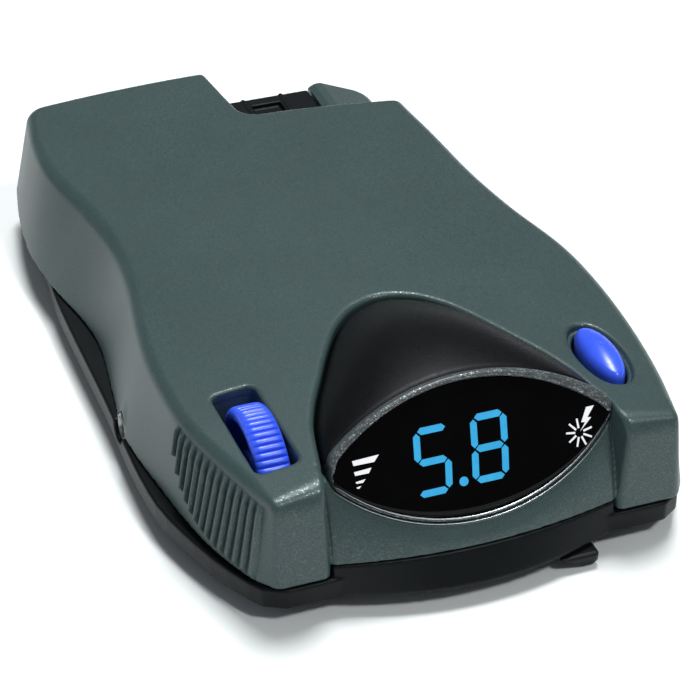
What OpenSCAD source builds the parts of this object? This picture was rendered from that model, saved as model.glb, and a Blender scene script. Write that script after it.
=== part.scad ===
// Trailer brake controller for mounting under a dashboard.
// Millimetres. +X to the right when facing the display, -Y towards the driver, +Z up.
// The origin lies on the flat underside, on the centre line, level with the two front corners.

/* [Case] */
// Height of the roof where it meets the side walls
edge_z = 21.4; // [18:0.2:26]
// How far the roof rises from its edges to the centre line
crown = 2.8; // [0:0.2:5]
// Height of the seam between the upper and lower housing
seam_z = 4.4; // [3:0.2:7]
// Rear end of the tall left block
case_rear = 134; // [120:1:150]
// Wall thickness of both housings
wall = 2; // [1.2:0.1:3]
// Share of the crown that is left at the rear
rear_crown = 0.6; // [0:0.05:1]
// Radius where the roof turns into the walls
shoulder_r = 1.6; // [0.6:0.1:3]

/* [Display] */
// Lean of the display face, measured from level
face_lean = 58.6; // [45:0.2:80]
// Distance of the lowest lens point behind the front corners (negative is in front)
face_y = -1.1; // [-4:0.1:4]
// Height of the lowest lens point
face_z = 10; // [7:0.2:14]
// Height of the eye-shaped frame along its leaning face
eye_h = 24.6; // [18:0.2:30]
// Radius of the frame's lower edge
eye_low_r = 33.5; // [25:0.5:60]
// Radius of the frame's upper edge, the brow
eye_high_r = 38.8; // [28:0.2:60]
// Width of the frame around the lens
rim = 1.5; // [0.8:0.1:3]

/* [Controls] */
// Radius of the ribbed power wheel
wheel_r = 11; // [9:0.5:13]
// Width of the power wheel
wheel_w = 5.8; // [4:0.2:8]
// Height of the wheel's axis
wheel_z = 13.8; // [12:0.1:16]
// Number of ribs round the wheel
wheel_ribs = 54; // [30:1:80]
// Length of the boost button
button_l = 15.4; // [12:0.2:20]
// Width of the boost button
button_w = 6.4; // [5:0.2:10]
// Travel of the manual slide to the left
slide_travel = 24; // [15:1:26]

/* [Mounting] */
// Radius of the bore in the metal side inserts
insert_bore_r = 1.65; // [1.4:0.05:2.2]
// Distance of the side inserts behind the front corners
insert_y = 49.5; // [45:0.5:55]

/* [Hidden] */
$fn = 48;
fit = 0.3;

// Half-widths of the case against the distance behind the front corners, [y, half-width].
left_top = [[0, 34.8], [12, 38], [26, 41.8], [40, 42.5], [54, 41.4], [70, 38.9], [82, 38.3],
    [95, 39.7], [110, 42.7], [122, 42.6], [134, 40.6]];
left_base = [[0, 34.8], [4, 37.8], [15, 42], [31, 44.9], [46, 46.6], [58, 45.3], [73, 43.5],
    [82, 44.1], [95, 46.6], [107, 47.8], [120, 46.8], [134, 44]];
right_top = [[0, 35.4], [12, 38], [26, 39.7], [40, 40.2], [54, 39.3], [70, 35.6],
    [84, 33.3], [100, 31.9], [113, 30.5], [138, 29.2]];
right_base = [[0, 36.8], [4, 39.2], [15, 42], [31, 43.8], [46, 45], [58, 42.8], [73, 38.8],
    [91, 37], [113, 34.4], [138, 32.8]];
// Half-widths of the lower housing, which fills out the waist of the upper one.
left_tray = [[0, 34.8], [4, 38.4], [15, 43.2], [30, 46.8], [60, 46.8], [90, 46.9], [104, 46]];
right_tray = [[0, 36.8], [4, 39.6], [15, 42.8], [31, 44.8], [50, 45], [70, 42.3], [90, 39.4],
    [113, 35.3], [131, 33.8]];
// Rear edge of the hood opening in the roof, [distance from the centre line, y].
arch = [[0, 45.8], [5.4, 44.2], [9.2, 41], [12, 37.2], [16.6, 29], [22.4, 17], [25.2, 5]];

gap_half = 24.9;
// Start of the frame's lower arc up the face, shift of its upper arc, and shift of its ends.
eye_foot = 0.7;
brow_x = 1;
eye_x = 0.8;
nose_r = 2.4;
rear_r = 3.5;
fascia_z = 6.4;
fascia_sag = 5.4;
lens_curve_r = 62;
notch_y = 114.4;
notch_wall_x = -2;
lug_z = 15;
lug_rear = 136;
tray_step_y = 104;
tray_rear = 132.4;
digit_slant = 0.12;
board_z = 5.6;
board_t = 1.6;
wheel_pos = [-31.2, 19.2, wheel_z];
button_pos = [30, 19.6];
button_top = 24.2;
button_travel = 1;
knob_pos = [18.4, 2];
knob_w = 8.2;
insert_r = 2.6;
insert_l = 7;
screw_spots = [[-37, 37], [33, 37], [-37, 98], [24, 92]];
board_screw_spots = [[-25, 38], [22, 42], [-30, 108], [10, 92]];
// Left, right, front, rear, bottom and top of the connector shroud.
shroud = [-1.6, 18.5, 100, 135, 2.4, 14.2];
pin_spots = [for (i = [-1.5 : 1.5]) (shroud[0] + shroud[1]) / 2 + 4 * i];

// ---- curves ---------------------------------------------------------------------------

function mix(a, b, t) = a + (b - a) * t;

function span_of(points, y, i = 0) =
    (i >= len(points) - 2 || y < points[i + 1][0]) ? i : span_of(points, y, i + 1);

function slope_at(points, i) =
    let (a = points[max(i - 1, 0)], b = points[min(i + 1, len(points) - 1)])
    (b[1] - a[1]) / (b[0] - a[0]);

// Smooth curve through a list of [position, value] points.
function curve_at(points, y) =
    let (i = span_of(points, y), a = points[i], b = points[i + 1], h = b[0] - a[0])
    let (t = (y - a[0]) / h, u = 1 - t)
    a[1] * (1 + 2 * t) * u * u + b[1] * t * t * (3 - 2 * t)
    + slope_at(points, i) * h * t * u * u - slope_at(points, i + 1) * h * t * t * u;

function crown_at(y) =
    let (t = min(max((y - 85) / 40, 0), 1))
    crown * mix(1, rear_crown, t * t * (3 - 2 * t));

function roof_z(x, half) = edge_z + crown * (1 - pow(x / half, 2));

function eye_low(x) = eye_foot + eye_low_r - sqrt(eye_low_r * eye_low_r - x * x);
function eye_high(x) = eye_h - eye_high_r + sqrt(pow(eye_high_r, 2) - pow(x - brow_x, 2));
function face_point(v, out = 0) =
    [face_y + v * cos(face_lean) - out * sin(face_lean),
     face_z + v * sin(face_lean) + out * cos(face_lean)];

// ---- shared solids --------------------------------------------------------------------

// Places a flat drawing on the leaning display face: x across, y up the face, z outwards.
module on_face(out = 0) {
    translate([0, face_point(0, out)[0], face_point(0, out)[1]])
        rotate([face_lean, 0, 0])
            children();
}

module eye(inset) {
    intersection() {
        translate([0, eye_foot + eye_low_r]) circle(eye_low_r - inset, $fn = 128);
        translate([brow_x, eye_h - eye_high_r]) circle(eye_high_r - inset, $fn = 128);
        translate([eye_x + inset + 0.1 - gap_half, 0])
            square([2 * (gap_half - 0.1 - inset), eye_h + 1]);
    }
}

// Closed solid through a list of rings of points, all rings having equally many.
module loft(rings) {
    n = len(rings[0]);
    last = (len(rings) - 1) * n;
    polyhedron(
        points = [for (ring = rings) each ring],
        faces = concat(
            [[for (j = [n - 1 : -1 : 0]) j]],
            [for (i = [0 : len(rings) - 2], j = [0 : n - 1])
                [i * n + j, i * n + (j + 1) % n, (i + 1) * n + (j + 1) % n]],
            [for (i = [0 : len(rings) - 2], j = [0 : n - 1])
                [i * n + j, (i + 1) * n + (j + 1) % n, (i + 1) * n + j]],
            [[for (j = [0 : n - 1]) last + j]]),
        convexity = 8);
}

// Cross-section of the case at y, drawn in by skin, from floor_z up to the crowned roof.
function case_section(y, skin, floor_z) =
    let (wl = curve_at(left_top, y) - skin, wr = curve_at(right_top, y) - skin,
         bl = curve_at(left_base, y) - skin, br = curve_at(right_base, y) - skin,
         top = edge_z - skin, r = shoulder_r)
    concat(
        [[-bl, floor_z], [br, floor_z], [br, seam_z]],
        [for (a = [0 : 30 : 90]) [wr - r + r * cos(a), top - r + r * sin(a)]],
        [for (i = [1 : 9]) let (s = i / 10)
            [mix(wr - r, r - wl, s), top + crown_at(y) * (1 - pow(2 * s - 1, 2))]],
        [for (a = [90 : 30 : 180]) [r - wl + r * cos(a), top - r + r * sin(a)]],
        [[-bl, seam_z]]);

function stations(y0, y1, r0, r1) = concat(
    [for (a = [0 : 30 : 90]) [y0 + r0 * (1 - cos(a)), r0 * (1 - sin(a))]],
    [for (i = [1 : 24]) [mix(y0 + r0, y1 - r1, i / 25), 0]],
    [for (a = [90 : -30 : 0]) [y1 - r1 * (1 - cos(a)), r1 * (1 - sin(a))]]);

module case_body(y0, y1, r0, r1, skin, floor_z) {
    loft([for (s = stations(y0, y1, r0, r1))
        [for (p = case_section(s[0], skin + s[1], floor_z)) [p[0], s[0], p[1]]]]);
}

module at_spots(spots, z) {
    for (p = spots)
        translate([p[0], p[1], z])
            children();
}

module oval(l, w) {
    scale([w / l, 1]) circle(d = l);
}

// Rounded block used for the raised metal-insert boss on each side wall.
module side_boss(x0, x1, r) {
    translate([min(x0, x1), insert_y, seam_z])
        rotate([0, 90, 0])
            cylinder(h = abs(x1 - x0), r = r);
}

// ---- upper housing --------------------------------------------------------------------

// Front panel below the lens: bulges forward at the bottom, meets the lens edge at the top.
module fascia() {
    half = gap_half + 0.6;
    loft([for (i = [0 : 16]) fascia_ring(mix(half, -half, i / 16))]);
}

function panel_foot_y(x) = 0.2 - (fascia_sag - 2.4) * (1 - pow(x / gap_half, 2));

function fascia_ring(x) =
    let (low_y = panel_foot_y(x),
         lip = face_point(eye_low(min(abs(x), gap_half - 0.6)) + 0.3))
    [[x, low_y, fascia_z], [x, low_y + wall, fascia_z], [x, lip[0] + wall, lip[1] - 0.4],
        [x, lip[0], lip[1]]];

module hood_opening() {
    linear_extrude(60)
        polygon(concat(
            [for (i = [0 : 16]) let (x = mix(-25.2, 25.2, i / 16)) [x, curve_at(arch, abs(x))]],
            [[gap_half - 0.3, -1], [0.3 - gap_half, -1]]));
}

module display_gap() {
    back = face_point(0, -3.4);
    top = face_point(60, -3.4);
    translate([-gap_half, 0, 0])
        rotate([90, 0, 90])
            linear_extrude(2 * gap_half)
                polygon([[-10, -1], [2.4, -1], [2.4, back[1] + 1], [top[0], top[1]], [-10, 60]]);
}

module rear_notch() {
    deep = case_rear + 10;
    translate([0, 0, lug_z])
        linear_extrude(30)
            polygon([[notch_wall_x - 2.4, deep], [notch_wall_x - 2.4, case_rear],
                [notch_wall_x, notch_y + 5], [notch_wall_x + 1, notch_y + 1.6],
                [notch_wall_x + 3, notch_y], [60, notch_y - 2], [60, deep]]);
    translate([shroud[0] - fit, shroud[2] - fit, -1])
        cube([shroud[1] - shroud[0] + 2 * fit, 40, shroud[5] + fit + 1]);
    translate([shroud[0] - fit, notch_y + fit, shroud[5]])
        cube([shroud[1] - shroud[0] + 2 * fit, 40, lug_z - shroud[5] + fit]);
}

module top_housing() {
    color("#55625f")
    // A zero resize keeps every size and renders the shell in one piece.
    resize([0, 0, 0]) difference() {
        union() {
            difference() {
                case_body(0, lug_rear, nose_r, rear_r, 0, seam_z);
                case_body(wall, lug_rear - wall, 1, 2, wall, -5);
                display_gap();
                translate([0, 0, seam_z + 6]) hood_opening();
                // The left block stops short of the lug on the right.
                translate([-60, case_rear, -1]) cube([60, 10, 60]);
            }
            fascia();
            // Wall of the left block along the connector notch.
            intersection() {
                case_body(0.5, lug_rear - 0.5, nose_r, rear_r, 0.5, seam_z);
                union() {
                    translate([notch_wall_x - 5, notch_y - wall, seam_z])
                        cube([2.6, case_rear - notch_y + wall, 40]);
                    translate([-47, case_rear - wall, seam_z]) cube([44.6, wall, 40]);
                    translate([notch_wall_x - 4, notch_y - wall, seam_z + 9])
                        cube([60, wall + 1, 40]);
                    translate([shroud[1] + fit, notch_y - wall, lug_z - wall])
                        cube([40, lug_rear - notch_y, wall]);
                    translate([shroud[1] + fit, notch_y - wall, seam_z])
                        cube([wall, lug_rear - notch_y + wall, lug_z - seam_z]);
                    at_spots(screw_spots, 6.2) cylinder(h = 20, r = 3);
                    side_boss(-60, -38.5, 4.4);
                    side_boss(60, 36.8, 4.4);
                    // Inner walls of the two corner pillars.
                    for (s = [-1, 1])
                        translate([s * (gap_half + 0.8) - 0.8, 0.7, seam_z]) cube([1.6, 10.4, 30]);
                    // Well under the boost button.
                    translate([button_pos[0], button_pos[1], 16])
                        linear_extrude(12) oval(button_l + 5, button_w + 4);
                }
            }
            // Skirt round the power wheel.
            wheel_slot_frame();
        }
        rear_notch();
        wheel_slot(0);
        // Seat of the display frame.
        on_face(-3.3) linear_extrude(7) eye(-0.15);
        translate([button_pos[0], button_pos[1], 0]) {
            linear_extrude(60) oval(button_l + 2 * fit, button_w + 2 * fit);
            translate([0, 0, 21.9]) linear_extrude(20) oval(button_l + 3, button_w + 2.2);
        }
        at_spots(screw_spots, 0) cylinder(h = 15, r = 1.4);
        side_boss(-60, -39, insert_r + 0.1);
        side_boss(60, 37.4, insert_r + 0.1);
    }
}

module wheel_slot(grow) {
    translate([wheel_pos[0], wheel_pos[1], 4])
        linear_extrude(40)
            offset(grow) translate([-0.5, 0]) square([wheel_w + 2, 20.8], center = true);
}

module wheel_slot_frame() {
    intersection() {
        case_body(0, lug_rear, nose_r, rear_r, 0, 19);
        translate([0, 0, 13]) difference() {
            wheel_slot(1.4);
            translate([0, 0, -1]) wheel_slot(0);
        }
    }
}

// ---- lower housing --------------------------------------------------------------------

module tray_outline(inset) {
    rear = tray_rear - inset;
    polygon(concat(
        [for (y = [104 : -8 : 8]) [inset - curve_at(left_tray, y), y]],
        [[inset - 38.4, 4], [inset - 37, 1 + inset], [inset - 34, -0.6 + inset], [-26.5, -0.4 + inset]],
        [[26.5, -0.4 + inset], [35 - inset, -0.6 + inset], [37.6 - inset, 1 + inset], [38.8 - inset, 4]],
        [for (y = [8 : 8 : 112]) [curve_at(right_tray, y) - inset, y]],
        [[32.4 - inset, 120], [31 - inset, rear + 1.8], [19.4 + inset, rear + 1.8],
         [19.4 + inset, rear], [inset - 42.2, rear]],
        [for (y = [126 : -8 : 110]) [inset + 1.9 - curve_at(left_base, y), y]],
        [[inset + 1.9 - 47.6, tray_step_y - inset]]));
}

// Outline of the upper housing at the seam, drawn in by inset.
module seam_outline(inset) {
    rear = tray_rear - inset;
    polygon(concat(
        [for (y = [0.2, 6, each [12 : 12 : 120], rear]) [inset - curve_at(left_base, y), y]],
        [for (y = [rear, each [120 : -12 : 12], 6, 0.2]) [curve_at(right_base, y) - inset, y]]));
}

// Raised lip that carries the front panel and leans back with it.
module front_lip() {
    loft([for (i = [0 : 16])
        let (x = mix(gap_half, -gap_half, i / 16), bow = 1 - pow(x / gap_half, 2))
        [[x, -0.3 - fascia_sag * bow, 0], [x, 1.4, 0], [x, 1.4, fascia_z],
            [x, panel_foot_y(x), fascia_z]]]);
}

module bottom_housing() {
    color("#191c22")
    difference() {
        union() {
            difference() {
                union() {
                    linear_extrude(seam_z) tray_outline(0);
                    front_lip();
                }
                translate([0, 0, wall])
                    linear_extrude(20)
                        intersection() {
                            tray_outline(wall);
                            seam_outline(wall);
                        }
            }
            at_spots(screw_spots, 0) cylinder(h = 6, r = 3.6);
            at_spots(board_screw_spots, 0) cylinder(h = board_z, r = 2.6);
            intersection() {
                linear_extrude(seam_z) tray_outline(0);
                union() {
                    translate([-60, insert_y - 4.6, 0]) cube([21.5, 9.2, seam_z]);
                    translate([36, insert_y - 4.6, 0]) cube([24, 9.2, seam_z]);
                }
            }
        }
        at_spots(screw_spots, -1) cylinder(h = 10, r = 1.6);
        at_spots(screw_spots, -1) cylinder(h = 2.2, r = 3);
        at_spots(board_screw_spots, 1.4) cylinder(h = 10, r = 0.9);
        // Slot the manual knob's neck runs in.
        translate([knob_pos[0] - slide_travel - 3, knob_pos[1] - 1.8, -1])
            cube([slide_travel + 6, 3.6, 6]);
        // The front of the underside stands clear of the surface behind the knob.
        translate([-60, -20, -1]) cube([120, 28, 1.4]);
        // Shallow pocket for the rating label.
        translate([-24, 52, -1]) cube([44, 32, 1.25]);
        side_boss(-60, -39, insert_r + 0.05);
        side_boss(60, 37.4, insert_r + 0.05);
        // Room for the connector shroud.
        translate([shroud[0] - fit, shroud[2] - fit, shroud[4] - fit])
            cube([shroud[1] - shroud[0] + 2 * fit, 60, 20]);
        // The power wheel dips below the seam.
        translate([wheel_pos[0] - wheel_w / 2 - 0.6, wheel_pos[1] - 9, wall])
            cube([wheel_w + 1.2, 18, 10]);
    }
}

// ---- hood and display -----------------------------------------------------------------

// One slice of the hood: from the brow, over a low swell, down to the edge of the roof.
function hood_ring(x) =
    let (a = abs(x), brow = face_point(eye_high(x) + 0.2, -0.3),
         under = face_point(eye_high(x) + 0.2, -2.1),
         rear_y = max(curve_at(arch, a) - 0.8, under[0] + 0.6),
         rear_z = min(roof_z(a, 39) - 0.6, brow[1] - 0.1),
         swell = (rear_y - brow[0]) * 0.03)
    [[x, under[0], under[1]], [x, rear_y, rear_z - 1.6], [x, rear_y, rear_z],
        [x, mix(brow[0], rear_y, 0.7), mix(brow[1], rear_z, 0.7) + 0.8 * swell],
        [x, mix(brow[0], rear_y, 0.35), mix(brow[1], rear_z, 0.35) + swell],
        [x, brow[0], brow[1]]];

module hood_panel() {
    steps = 24;
    color("#0c0d10")
    loft([for (i = [0 : steps]) hood_ring(mix(22.8, -22.8, i / steps))]);
}

module display_bezel() {
    color("#7c8785")
    on_face(-3)
        linear_extrude(3.5)
            difference() {
                eye(0);
                eye(rim);
            }
}

module display_lens() {
    color("#08090c")
    intersection() {
        on_face(-2)
            linear_extrude(4) eye(rim + 0.1);
        on_face(0.9 - lens_curve_r)
            translate([-40, eye_h / 2, 0])
                rotate([0, 90, 0])
                    cylinder(h = 80, r = lens_curve_r, $fn = 360);
    }
}

// One lit bar of a digit, centred, with pointed ends.
module bar(l, w) {
    polygon([[-l / 2, 0], [w / 2 - l / 2, w / 2], [l / 2 - w / 2, w / 2], [l / 2, 0],
        [l / 2 - w / 2, -w / 2], [w / 2 - l / 2, -w / 2]]);
}

// Slanted seven-bar digit. lit tells which bars are on, in the order top, upper right,
// lower right, bottom, lower left, upper left, middle.
module digit(centre, lit) {
    w = 5.1;
    h = 5.05;
    spots = [[0, h, 0], [w / 2, h / 2, 90], [w / 2, -h / 2, 90], [0, -h, 0],
        [-w / 2, -h / 2, 90], [-w / 2, h / 2, 90], [0, 0, 0]];
    for (i = [0 : 6])
        if (lit[i] == 1)
            translate([centre[0] + spots[i][0] + digit_slant * spots[i][1], centre[1] + spots[i][1]])
                rotate(spots[i][2] == 90 ? 90 - atan(digit_slant) : 0)
                    bar(4.7, 1.1);
}

module digit_segments() {
    color("#3fb6e6")
    on_face(1.95)
        linear_extrude(0.15) {
            digit([-6.2, 11.7], [1, 0, 1, 1, 0, 1, 1]);
            digit([3.6, 11.9], [1, 1, 1, 1, 1, 1, 1]);
            translate([-1.7, 7.2]) circle(0.8);
        }
}

// Braking level wedge on the left, boost burst and bolt on the right.
module status_icons() {
    burst = [19.1, 10.9];
    color("#f4f6f8")
    on_face(1.75)
        linear_extrude(0.15) {
            for (i = [0 : 3])
                translate([-19.9, 9.8 + 1.3 * i])
                    square([0.6 + 1.1 * i, 0.7]);
            translate(burst)
                for (a = [100 : 40 : 380])
                    rotate(a) translate([0.8, -0.2]) square([1.4, 0.4]);
            translate(burst)
                polygon([[0.3, 0.1], [2.2, 2], [1.6, 2.1], [3.1, 3.6], [1.8, 3.4], [0.8, 1.6],
                    [1.4, 1.5]]);
        }
}

module display_module() {
    color("#1b1b1d")
    on_face(-7.6)
        translate([-11, 4.6, 0]) cube([22, 15.4, 4.4]);
}

module display_board() {
    color("#1d5a3a")
    on_face(-9.4)
        translate([-15, 3.6, 0]) cube([30, 17.4, 1.6]);
}

module display_header() {
    color("#c9a44a")
    for (i = [0 : 9])
        translate([-9.4 + 2 * i, 13.4, board_z + board_t]) cube([0.6, 0.6, 4.2]);
}

// ---- power wheel ----------------------------------------------------------------------

function rib_ring(n, r_out, r_in) =
    [for (i = [0 : 4 * n - 1])
        let (a = 90 * i / n, r = (i % 4 < 2) ? r_out : r_in)
        [r * cos(a), r * sin(a)]];

module power_wheel() {
    color("#2f55e0")
    translate(wheel_pos)
        rotate([0, 90, 0])
            difference() {
                union() {
                    translate([0, 0, -wheel_w / 2]) cylinder(h = 0.9, r = wheel_r - 0.7);
                    translate([0, 0, 0.8 - wheel_w / 2])
                        linear_extrude(wheel_w - 1.6)
                            polygon(rib_ring(wheel_ribs, wheel_r, wheel_r - 0.5));
                    translate([0, 0, wheel_w / 2 - 0.9]) cylinder(h = 0.9, r = wheel_r - 0.7);
                }
                translate([0, 0, -wheel_w / 2 - 1]) cylinder(h = 3.2, r = wheel_r - 1.8);
                translate([0, 0, -wheel_w]) cylinder(h = 2 * wheel_w, r = 2.5);
            }
}

module wheel_shaft() {
    color("#c8ccd0")
    translate([wheel_pos[0] - 0.4, wheel_pos[1], wheel_pos[2]])
        rotate([0, 90, 0])
            cylinder(h = 9.4, r = 2.5);
}

module wheel_potentiometer() {
    color("#2a2d33")
    difference() {
        translate([wheel_pos[0] + wheel_w / 2 + 0.6, wheel_pos[1] - 6, board_z + board_t])
            cube([5.4, 12, 11.4]);
        translate(wheel_pos) rotate([0, 90, 0]) cylinder(h = 20, r = 2.55);
    }
}

// ---- boost button ---------------------------------------------------------------------

module boost_button() {
    color("#2f55e0")
    translate([button_pos[0], button_pos[1], 0]) {
        translate([0, 0, 19.4]) linear_extrude(button_top - 19.4 - 0.8) oval(button_l, button_w);
        translate([0, 0, button_top - 0.8]) linear_extrude(0.8) oval(button_l - 1.2, button_w - 1.2);
        translate([0, 0, 12.6]) cylinder(h = 7, r = 1.6);
    }
}

module button_plunger() {
    color("#e2ddd2")
    translate([button_pos[0], button_pos[1], 8.6]) cylinder(h = 4, r = 1.1);
}

module boost_dome() {
    color("#8f9296")
    translate([button_pos[0], button_pos[1], 10.6])
        rotate_extrude()
            polygon([[3.2, 0], [3.6, 0], [2.9, 8.2], [2.5, 8.2]]);
}

module boost_switch() {
    color("#202226")
    translate([button_pos[0], button_pos[1], board_z + board_t])
        difference() {
            translate([-3.9, -3.9, 0]) cube([7.8, 7.8, 3.2]);
            translate([0, 0, 0.3]) cylinder(h = 5, r = 1.4);
        }
}

// ---- manual slide ---------------------------------------------------------------------

module manual_knob() {
    color("#14161a")
    translate([knob_pos[0], knob_pos[1], 0]) {
        // Finger fin: hangs behind the front lip and narrows to a rounded foot.
        translate([0, -1.2, 0])
            rotate([90, 0, 0])
                linear_extrude(5)
                    polygon([[-knob_w / 2, 0], [-knob_w / 2, -0.6], [-0.9, -2.6], [-0.1, -3],
                        [1.6, -3], [2.4, -2.6], [knob_w / 2 - 1, -0.6], [knob_w / 2 - 1, 0]]);
        translate([-2.4, -1.4, -0.9]) cube([4.8, 2.8, 3.5]);
    }
}

module slide_carriage() {
    color("#e8e4d8")
    translate([knob_pos[0] - 4.5, knob_pos[1], 2.6])
        cube([9, 3, 2.2]);
}

module slide_track() {
    color("#3a3f45")
    translate([knob_pos[0] - slide_travel - 6, knob_pos[1] + 3.4, wall])
        cube([slide_travel + 11.4, 5, 3.4]);
}

// ---- electronics ----------------------------------------------------------------------

module main_board() {
    color("#1d5a3a")
    translate([0, 0, board_z])
        linear_extrude(board_t)
            difference() {
                translate([-38, 12]) square([72, 100]);
                for (p = screw_spots) translate(p) circle(4);
                translate([wheel_pos[0] - 4.4, 0]) square([8, 32]);
                translate([26.5, 96]) square([20, 40]);
                translate([33 - 3, 60]) square([20, 60]);
                translate([shroud[0] - fit, shroud[2] - fit]) square([60, 40]);
                for (p = board_screw_spots) translate(p) circle(1.1);
            }
}

module board_top() {
    translate([0, 0, board_z + board_t]) children();
}

module microcontroller() {
    color("#111214")
    board_top() translate([-8, 56, 0]) cube([12, 12, 1.6]);
}

module motion_sensor() {
    color("#8c9096")
    board_top() translate([-16, 76, 0]) cube([7, 7, 1.8]);
}

module power_transistors() {
    color("#1a1b1e")
    board_top()
        for (i = [0 : 2])
            translate([-31 + 9.3 * i, 100.4, 0]) cube([8, 4.5, 11]);
}

module heat_spreader() {
    color("#b9bdc2")
    board_top() {
        translate([-31.5, 98.2, 0]) cube([27.6, 2, 12.2]);
        translate([-31.5, 92.2, 0]) cube([27.6, 6.5, 1.5]);
    }
}

module capacitors() {
    color("#23315c")
    board_top() {
        translate([-31, 82, 0]) cylinder(h = 11.5, r = 4);
        translate([-30, 70, 0]) cylinder(h = 9, r = 3.2);
        translate([12, 78, 0]) cylinder(h = 11, r = 4);
    }
}

module inductor() {
    color("#4b3a2c")
    board_top()
        translate([18, 64, 0])
            difference() {
                cylinder(h = 6, r = 6);
                translate([0, 0, -1]) cylinder(h = 8, r = 2.4);
            }
}

module chip_parts() {
    color("#b8ab8e")
    board_top()
        for (i = [0 : 5], j = [0 : 1])
            translate([-14 + 5 * i, 44 + 4.4 * j, 0]) cube([2, 1.2, 0.6]);
}

module connector_shroud() {
    color("#16181d")
    difference() {
        translate([shroud[0], shroud[2], shroud[4]])
            cube([shroud[1] - shroud[0], shroud[3] - shroud[2], shroud[5] - shroud[4]]);
        translate([shroud[0] + 1.6, shroud[2] + 10, shroud[4] + 1.6])
            cube([shroud[1] - shroud[0] - 3.2, 40, shroud[5] - shroud[4] - 3.2]);
        // Recess for the plug's latch.
        translate([(shroud[0] + shroud[1]) / 2 - 3, shroud[3] - 9, shroud[5] - 1])
            cube([6, 6, 4]);
        for (x = pin_spots)
            translate([x - 0.5, shroud[2] - 1, shroud[4] + 4.9])
                cube([1, 20, 1.2]);
    }
}

module connector_pins() {
    color("#d0b25a")
    for (x = pin_spots)
        translate([x - 0.45, shroud[2] - 2.4, shroud[4] + 4.95])
            cube([0.9, 24, 1.1]);
}

// ---- metal parts ----------------------------------------------------------------------

module insert(x, out) {
    color("#b7b09a")
    translate([x, insert_y, seam_z])
        rotate([0, 90 * out, 0])
            translate([0, 0, -insert_l])
                difference() {
                    cylinder(h = insert_l, r = insert_r);
                    translate([0, 0, -1]) cylinder(h = insert_l + 2, r = insert_bore_r);
                }
}

module insert_left() {
    insert(-46.2, -1);
}

module insert_right() {
    insert(44.6, 1);
}

module housing_screws() {
    color("#30343a")
    at_spots(screw_spots, 0.1) {
        difference() {
            cylinder(h = 1.1, r = 2.6);
            translate([0, 0, -0.5]) cylinder(h = 1.1, r = 1.2, $fn = 6);
        }
        translate([0, 0, 1]) cylinder(h = 12.6, r = 1.3);
    }
}

module board_screws() {
    color("#9da2a8")
    at_spots(board_screw_spots, board_z + board_t) {
        cylinder(h = 1.3, r = 2);
        translate([0, 0, -5]) cylinder(h = 5.2, r = 0.85);
    }
}

module rating_label() {
    color("#c9ccd0")
    translate([-23.7, 52.3, 0.06]) cube([43.4, 31.4, 0.16]);
}

top_housing();
bottom_housing();
hood_panel();
display_bezel();
display_lens();
digit_segments();
status_icons();
display_module();
display_board();
display_header();
power_wheel();
wheel_shaft();
wheel_potentiometer();
boost_button();
button_plunger();
boost_dome();
boost_switch();
manual_knob();
slide_carriage();
slide_track();
main_board();
microcontroller();
motion_sensor();
power_transistors();
heat_spreader();
capacitors();
inductor();
chip_parts();
connector_shroud();
connector_pins();
insert_left();
insert_right();
housing_screws();
board_screws();
rating_label();
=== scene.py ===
import math
from functools import reduce

import bpy
import numpy as np
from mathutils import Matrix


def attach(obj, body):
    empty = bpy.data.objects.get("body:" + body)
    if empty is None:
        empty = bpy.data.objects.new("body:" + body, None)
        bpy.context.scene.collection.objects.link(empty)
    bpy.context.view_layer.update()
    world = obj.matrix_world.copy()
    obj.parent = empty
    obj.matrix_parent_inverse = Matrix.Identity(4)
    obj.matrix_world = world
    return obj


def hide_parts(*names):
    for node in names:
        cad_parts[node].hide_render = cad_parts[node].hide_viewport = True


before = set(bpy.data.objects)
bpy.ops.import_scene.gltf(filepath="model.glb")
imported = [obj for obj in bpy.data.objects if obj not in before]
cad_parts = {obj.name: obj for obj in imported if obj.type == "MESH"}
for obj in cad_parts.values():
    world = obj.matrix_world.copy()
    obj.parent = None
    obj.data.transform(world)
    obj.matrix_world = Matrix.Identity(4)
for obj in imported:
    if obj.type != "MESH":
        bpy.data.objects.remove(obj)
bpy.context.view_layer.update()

import openvdb
from mathutils import Matrix, Vector

# Lengths in this script are in millimetres, and are turned into metres when a mesh is made.
MM = 0.001

# The case
EDGE_Z = 21.4        # height of the roof where it meets the walls
CROWN = 2.8          # rise of the roof to the centre line
REAR_CROWN = 0.6     # share of that rise left at the rear
SEAM_Z = 4.4         # seam between the two housings
SEAM_GAP = 0.1
CASE_REAR = 134
WALL = 2.0
FRONT_Y = -0.3       # front of the corner pillars at the seam
SLANT_Z = 20.2       # where their slanted front edge begins
GAP_HALF = 24.9      # half the distance between them
LIP_Z = 6.4          # top of the black lip under the front panel
LIP_SAG = 5.4        # how far the foot of the lip bulges towards the driver
LIP_TOP_Y = 0.2      # top of the lip next to the pillars
LIP_TOP_SAG = 3.0    # how far the top of the lip bulges
NOTCH_X = -2.0       # left wall of the notch at the rear
NOTCH_Y = 114.4      # its front wall
NOTCH_Z = 14.4       # its floor, over the socket
LUG_Z = 15.0         # top of the lug to the right of the socket
LUG_REAR = 136

# The leaning display face
FACE_Y = -1.1        # foot of the face
FACE_Z = 10.0
LEAN = math.radians(58.6)
EYE_H = 24.6         # height of the eye, up the face
EYE_LOW_R = 33.5     # radius of its lower arc
EYE_HIGH_R = 38.8    # radius of its upper arc
EYE_FOOT = 0.7       # start of the lower arc up the face
BROW_X = 1.0         # sideways shift of the upper arc
EYE_X = 0.8          # sideways shift of the blunt ends
EYE_END = 24.8       # distance of those ends from their middle
BEZEL_DEPTH = 3.0
LENS_BULGE_R = 62.0
LENS_TOP = 0.9       # how far the lens stands out of the face

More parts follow.
